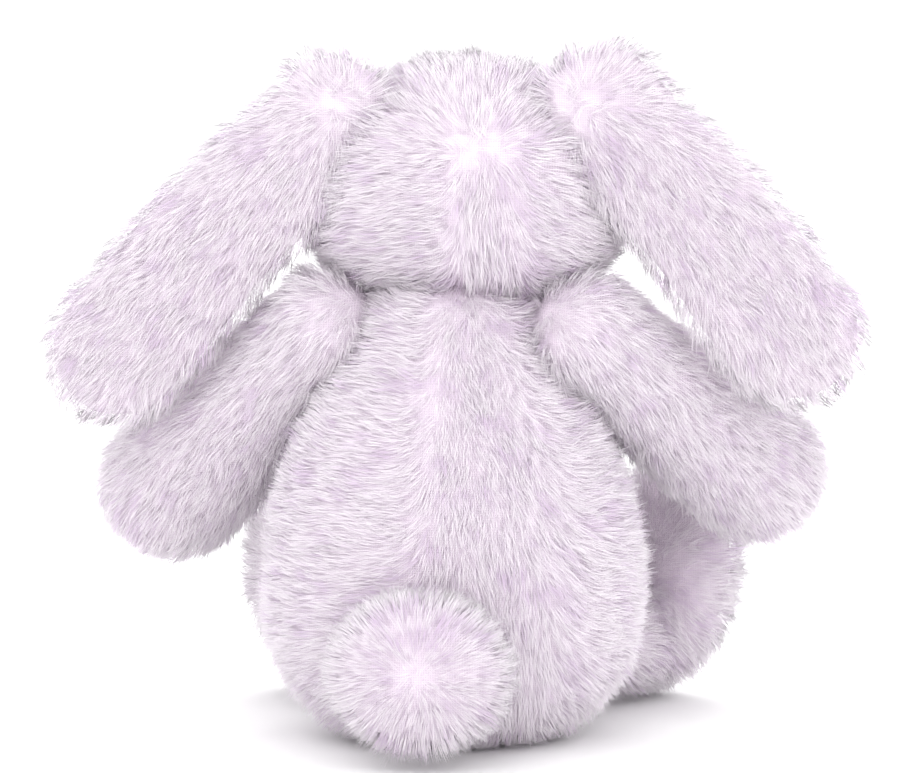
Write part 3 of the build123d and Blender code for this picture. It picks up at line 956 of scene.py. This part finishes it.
class MakeTorso(bpy.types.Operator):
    """Torso: skin, filling and pile"""

    bl_idname = "rabbit.torso"
    bl_label = "Torso"

    def execute(self, context):
        covers = ["torso_back_panel_left", "torso_back_panel_right", "torso_belly_panel", "torso_base_disc"]

        def seams(points):
            """Distance to the nearest seam in units of 2 mm: centre back, both sides, base."""
            behind = np.where(points[:, 1] > 0, np.abs(points[:, 0]), 1.0)
            return np.minimum(np.minimum(behind, np.abs(points[:, 1])), points[:, 2]) / 0.002

        covers.append("torso_stuffing")
        depth = sizes().pile_depth
        skin = stuffed("torso_skin", "torso", torso_shape, "torso_filling", depth, seams, covers, voxel=0.005)
        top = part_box("torso_belly_panel")[1].z
        tail, roots = pivot("tail_wag"), [pivot("leg_left_swing"), pivot("leg_right_swing")]
        close_tail = near([tail], 0.016)
        close_legs = near(roots, 0.012)

        def bare(points):
            inside = (points[:, 2] > top + 0.011) | (points[:, 2] < 0.002)
            return inside | close_tail(points) | close_legs(points)

        def number(points):
            return (points[:, 0] < 0).astype(int) + 2 * (points[:, 1] < 0).astype(int)

        names = [f"torso_{half}_{side}_pile" for half in ("back", "belly") for side in ("left", "right")]
        grow_pile(skin, "torso", torso_comb, (names, number), coat(11, bare=bare), long_pile())
        return {"FINISHED"}


class MakeHead(bpy.types.Operator):
    """Head: skin, filling and pile"""

    bl_idname = "rabbit.head"
    bl_label = "Head"

    def execute(self, context):
        centre, _, _ = head_box()

        def seams(points):
            """Distance to the two seams beside the gusset, in units of 2 mm."""
            return np.abs(np.abs(points[:, 0] - centre[0]) - 0.016) / 0.002

        covers = ["head_gusset", "head_panel_left", "head_panel_right", "head_stuffing"]
        depth = sizes().pile_depth
        skin = stuffed("head_skin", "head", head_shape, "head_filling", depth, seams, covers, cap=0.002)
        eyes = near([box_centre("eye_left"), box_centre("eye_right")], 0.0095)
        nose = box_centre("nose_stitching")
        neck = near([pivot("head_turn")], 0.024)

        def bare(points):
            return eyes(points) | neck(points) | (np.linalg.norm(points - nose, axis=1) < 0.0075)

        def muzzle_share(points):
            return ease(0.034, 0.012, np.linalg.norm(points - nose, axis=1))

        names = ["head_left_pile", "head_gusset_pile", "head_right_pile"]

        def number(points):
            x = points[:, 0] - centre[0]
            return np.where(x > 0.016, 0, np.where(x < -0.016, 2, 1))

        head_coat = coat(
            23,
            bare=bare,
            length=lambda p: sizes().pile_length * (1 - 0.66 * muzzle_share(p)),
            lift=lambda p: sizes().pile_lift * (1 - 0.45 * muzzle_share(p)),
        )
        grow_pile(skin, "head", head_comb, (names, number), head_coat, long_pile())
        return {"FINISHED"}


class MakeEars(bpy.types.Operator):
    """Both ears: skin, wadding, long pile behind and short pile on the lining"""

    bl_idname = "rabbit.ears"
    bl_label = "Ears"

    def execute(self, context):
        for seed, word in ((31, "left"), (37, "right")):
            body = f"ear_{word}"
            root, _, _, out = ear_frame(word)
            ahead = out if out[1] < 0 else -out

            def seams(points):
                return np.abs((points - root) @ ahead) / 0.002

            covers = [f"{body}_back", f"{body}_lining", f"{body}_wadding"]
            names = f"{body}_skin", f"{body}_filling"
            skin = stuffed(names[0], body, ear_shape(word), names[1], 0.0035, seams, covers, 0.0012, 0.003)

            def front(points):
                """1 on the lining side, 0 behind and around the edge."""
                depth = (points - root) @ ahead
                return (depth > 0.0022).astype(int)

            ear_coat = coat(
                seed,
                length=lambda p: sizes().pile_length * (1 - 0.6 * front(p)),
                lift=lambda p: sizes().pile_lift * (1 - 0.1 * front(p)),
            )
            names = [f"{body}_back_pile", f"{body}_lining_pile"]
            grow_pile(skin, body, ear_comb(word), (names, front), ear_coat, long_pile())
            trimmed(names[1])
        return {"FINISHED"}


class MakeArms(bpy.types.Operator):
    """Both arms: skin, filling and pile"""

    bl_idname = "rabbit.arms"
    bl_label = "Arms"

    def execute(self, context):
        for seed, word in ((41, "left"), (47, "right")):
            body, depth = f"arm_{word}", sizes().pile_depth
            root, _, across, _ = arm_frame(word)

            def seams(points):
                return np.abs((points - root) @ across) / 0.002

            covers = [f"{body}_outer_panel", f"{body}_inner_panel", f"{body}_stuffing"]
            names = f"{body}_skin", f"{body}_filling"
            skin = stuffed(names[0], body, arm_shape(word), names[1], depth, seams, covers, 0.0015, 0.003)
            panels = ([f"{body}_pile"], whole)
            grow_pile(skin, body, arm_comb(word), panels, coat(seed), long_pile())
        return {"FINISHED"}


class MakeLegs(bpy.types.Operator):
    """Both legs: skin, filling, long pile and a short-pile sole"""

    bl_idname = "rabbit.legs"
    bl_label = "Legs"

    def execute(self, context):
        for seed, word in ((53, "left"), (59, "right")):
            body = f"leg_{word}"
            middle, across, toes, ahead = foot_frame(word)

            def seams(points):
                return np.abs((points - middle) @ ahead - 0.006) / 0.002

            covers = [f"{body}_{part}" for part in ("upper_panel", "lower_panel", "sole_pad", "stuffing")]
            names = f"{body}_skin", f"{body}_filling"
            skin = stuffed(names[0], body, leg_shape(word), names[1], 0.002, seams, covers, 0.0015, 0.003)

            def sole(points):
                local = points - middle
                inside = (local @ across / 0.0165) ** 2 + (local @ toes / 0.0285) ** 2 < 1
                return ((local @ ahead > 0.005) & inside).astype(int)

            leg_coat = coat(
                seed,
                length=lambda p: sizes().pile_length * (1 - 0.68 * sole(p)),
                lift=lambda p: sizes().pile_lift + 0.15 - 0.05 * sole(p),
            )
            names = [f"{body}_pile", f"{body}_sole_pile"]
            grow_pile(skin, body, leg_comb(word), (names, sole), leg_coat, long_pile())
            trimmed(names[1])
        return {"FINISHED"}


class MakeTail(bpy.types.Operator):
    """Pompom tail: skin, filling and upright pile"""

    bl_idname = "rabbit.tail"
    bl_label = "Tail"

    def execute(self, context):
        def seams(points):
            return np.abs(points[:, 1] - box_centre("tail_stuffing")[1]) / 0.002

        covers = ["tail_cover", "tail_stuffing"]
        skin = stuffed("tail_skin", "tail", tail_shape, "tail_filling", 0.0055, seams, covers, 0.001, 0.003)
        tail_coat = coat(
            67, lift=0.85, wander=0.22, spacing=0.0018, bow=0.08, length=sizes().pile_length * 0.85
        )
        grow_pile(skin, "tail", tail_comb, (["tail_pile"], whole), tail_coat, long_pile())
        return {"FINISHED"}


def strand(path, radius, flat=1.0, turns=8):
    """A thread along a path of points, thinner at both ends, as rings square to its run."""
    run = unit(np.gradient(path, axis=0))
    out = unit(np.cross(run, np.cross(-OUT_Y, run)))
    side = np.cross(run, out)
    share = np.sqrt(np.clip(1 - np.linspace(-1, 1, len(path)) ** 8, 0, 1)) * radius
    turn = np.linspace(0, 2 * np.pi, turns, endpoint=False)
    ring = np.cos(turn)[None, :, None] * side[:, None] + flat * np.sin(turn)[None, :, None] * out[:, None]
    return path[:, None] + share[:, None, None] * ring


def laid_on(path, surface, proud):
    """A path moved along Y to stand a little proud of a surface's front. Each of its points
    takes the mean Y of the surface's points, weighted by a bell curve of their distance."""
    front = surface[surface[:, 1] < head_box()[0][1]]
    gap = ((path[:, None, [0, 2]] - front[None, :, [0, 2]]) ** 2).sum(-1)
    weight = np.exp(-gap / (2 * 0.0013**2))
    path[:, 1] = (weight * front[:, 1]).sum(1) / weight.sum(1) - proud
    return path


class MakeFace(bpy.types.Operator):
    """Eyes, satin-stitched nose and mouth"""

    bl_idname = "rabbit.face"
    bl_label = "Face"

    def execute(self, context):
        eye = colours().eye
        gloss = {"Roughness": 0.08, "Coat_Weight": 0.6}
        plastic = grained("eye_plastic", 0.004, opaque(eye), opaque(eye, 0.7), 0.02, **gloss)
        for word in SIDES:
            eyeball = frame["nodes"][f"eye_{word}"].data
            eyeball.materials.clear()
            eyeball.materials.append(plastic)
        pink = colours().nose
        silky = {"Roughness": 0.5, "Sheen_Weight": 0.3}
        thread = grained("nose_thread", 0.0007, opaque(pink), opaque(pink, 0.8), 0.3, **silky)
        face, _ = vertices_of(bpy.data.objects["head_skin"].data)
        low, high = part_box("nose_stitching")
        middle = (low + high) / 2
        half, drop = (high.x - low.x) / 2, high.z - low.z
        x = np.linspace(-1, 1, 25)
        rows = []
        for k in range(14):
            down = (k + 0.5) / 14
            reach = half * (1 - down**1.35) ** 0.8 + 0.0006
            path = np.stack([x * reach, np.zeros(25), np.full(25, high.z - down * drop)], -1)
            path[:, 0] += middle.x
            rows.append(strand(laid_on(path, face, 0.001), drop / 14 * 0.72, flat=2.4))
        nose = new_piece("nose_satin", rows, thread)
        low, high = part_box("mouth_stitching")
        width, foot, top = (high.x - low.x) / 4, low.z, high.z
        bend = np.linspace(0, np.pi, 25)
        paths = [np.stack([np.zeros(13), np.zeros(13), np.linspace(top, foot + width, 13)], -1)]
        for side in (-1, 1):
            sideways, rise = side * width * (1 - np.cos(bend)), foot + width - width * np.sin(bend)
            paths.append(np.stack([sideways, np.zeros(25), rise], -1))
        rows = []
        for path in paths:
            path[:, 0] += (low.x + high.x) / 2
            rows.append(strand(laid_on(path, face, 0.0014), 0.0008, flat=2.2))
        mouth = new_piece("mouth_thread", rows, thread)
        for piece, node in ((nose, "nose_stitching"), (mouth, "mouth_stitching")):
            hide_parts(node)
            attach(piece, "head")
        return {"FINISHED"}


class MakeInside(bpy.types.Operator):
    """Finishes of the hidden pieces: washers, pouch, pellets and gathering threads"""

    bl_idname = "rabbit.inside"
    bl_label = "Inside"

    def execute(self, context):
        shade = colours().thread
        thread = grained("seam_thread", 0.0006, opaque(shade), opaque(shade, 0.75), 0.4, Roughness=0.6)
        ivory, dull_ivory = (0.8, 0.8, 0.78, 1), (0.72, 0.72, 0.7, 1)
        washer = grained("washer_plastic", 0.003, ivory, dull_ivory, 0.05, Roughness=0.35)
        pellet = grained("pellets", 0.003, (0.75, 0.74, 0.7, 1), (0.4, 0.39, 0.37, 1), 1.0, Roughness=0.45)
        pouch = woven("pouch_cloth", 0.0012, (0.78, 0.76, 0.72, 1), (0.55, 0.53, 0.5, 1))
        for name, node in frame["nodes"].items():
            if node.hide_render or name.startswith("eye_left") or name.startswith("eye_right"):
                continue
            finish = thread
            if "washer" in name:
                finish = washer
            elif name == "bean_pellets":
                finish = pellet
            elif name == "bean_pouch":
                finish = pouch
            node.data.materials.clear()
            node.data.materials.append(finish)
        return {"FINISHED"}


class MakeStage(bpy.types.Operator):
    """Floor, light and camera"""

    bl_idname = "rabbit.stage"
    bl_label = "Stage"

    def execute(self, context):
        scene = context.scene
        mesh = bpy.data.meshes.new("floor")
        mesh.from_pydata([(-6, -6, 0), (6, -6, 0), (6, 6, 0), (-6, 6, 0)], [], [(0, 1, 2, 3)])
        floor = bpy.data.objects.new("floor", mesh)
        white, off_white = (0.97, 0.97, 0.97, 1), (0.95, 0.95, 0.95, 1)
        mesh.materials.append(grained("floor_paper", 0.01, white, off_white, 0.0, Roughness=0.9))
        scene.collection.objects.link(floor)

        world = bpy.data.worlds.new("studio")
        world.use_nodes = True
        background = world.node_tree.nodes["Background"]
        background.inputs["Color"].default_value = (1.0, 1.0, 1.0, 1.0)
        background.inputs["Strength"].default_value = 1.4
        scene.world = world
        scene.view_settings.view_transform = "Standard"

        aim = Vector((0.0018, 0.0, 0.1199))

        def softbox(name, azimuth, elevation, distance, size, power):
            a, e = math.radians(azimuth), math.radians(elevation)
            light = bpy.data.lights.new(name, "AREA")
            light.shape, light.size, light.energy = "SQUARE", size, power
            lamp = bpy.data.objects.new(name, light)
            away = Vector((math.sin(a) * math.cos(e), -math.cos(a) * math.cos(e), math.sin(e)))
            lamp.location = aim + away * distance
            lamp.rotation_euler = away.to_track_quat("Z", "Y").to_euler()
            scene.collection.objects.link(lamp)

        softbox("key", 165, 40, 1.6, 1.4, 4)
        softbox("fill", 215, 25, 1.6, 1.4, 3)
        softbox("low", 190, 10, 1.6, 1.4, 3)
        softbox("front", 10, 45, 1.6, 1.4, 6)

        data = bpy.data.cameras.new("camera")
        data.sensor_width, data.lens = 36.0, 354.0
        data.clip_start, data.clip_end = 0.05, 50
        camera = bpy.data.objects.new("camera", data)
        azimuth, elevation = math.radians(186.5), math.radians(7)
        level = math.cos(elevation)
        back = Vector((math.sin(azimuth) * level, -math.cos(azimuth) * level, math.sin(elevation)))
        camera.location = aim + back * 3.0
        camera.rotation_euler = back.to_track_quat("Z", "Y").to_euler()
        scene.collection.objects.link(camera)
        scene.camera = camera
        return {"FINISHED"}


MAKERS = (MakeTorso, MakeHead, MakeEars, MakeArms, MakeLegs, MakeTail, MakeFace, MakeInside, MakeStage)


class RabbitPanel(bpy.types.Panel):
    """Lists the rabbit's parts"""

    bl_idname = "VIEW3D_PT_rabbit"
    bl_label = "Plush rabbit"
    bl_space_type = "VIEW_3D"
    bl_region_type = "UI"
    bl_category = "Plush rabbit"

    def draw(self, context):
        for group in (context.scene.rabbit_sizes, context.scene.rabbit_colours):
            column = self.layout.column()
            for name in group.__annotations__:
                column.prop(group, name)
        for maker in MAKERS:
            self.layout.operator(maker.bl_idname)


CLASSES = (RabbitSizes, RabbitColours, *MAKERS, RabbitPanel)


def register():
    for cls in CLASSES:
        bpy.utils.register_class(cls)
    bpy.types.Scene.rabbit_sizes = bpy.props.PointerProperty(type=RabbitSizes)
    bpy.types.Scene.rabbit_colours = bpy.props.PointerProperty(type=RabbitColours)


def unregister():
    del bpy.types.Scene.rabbit_colours
    del bpy.types.Scene.rabbit_sizes
    for cls in reversed(CLASSES):
        bpy.utils.unregister_class(cls)


def main():
    register()
    for maker in MAKERS:
        family, name = maker.bl_idname.split(".")
        getattr(getattr(bpy.ops, family), name)()


if __name__ == "__main__":
    main()
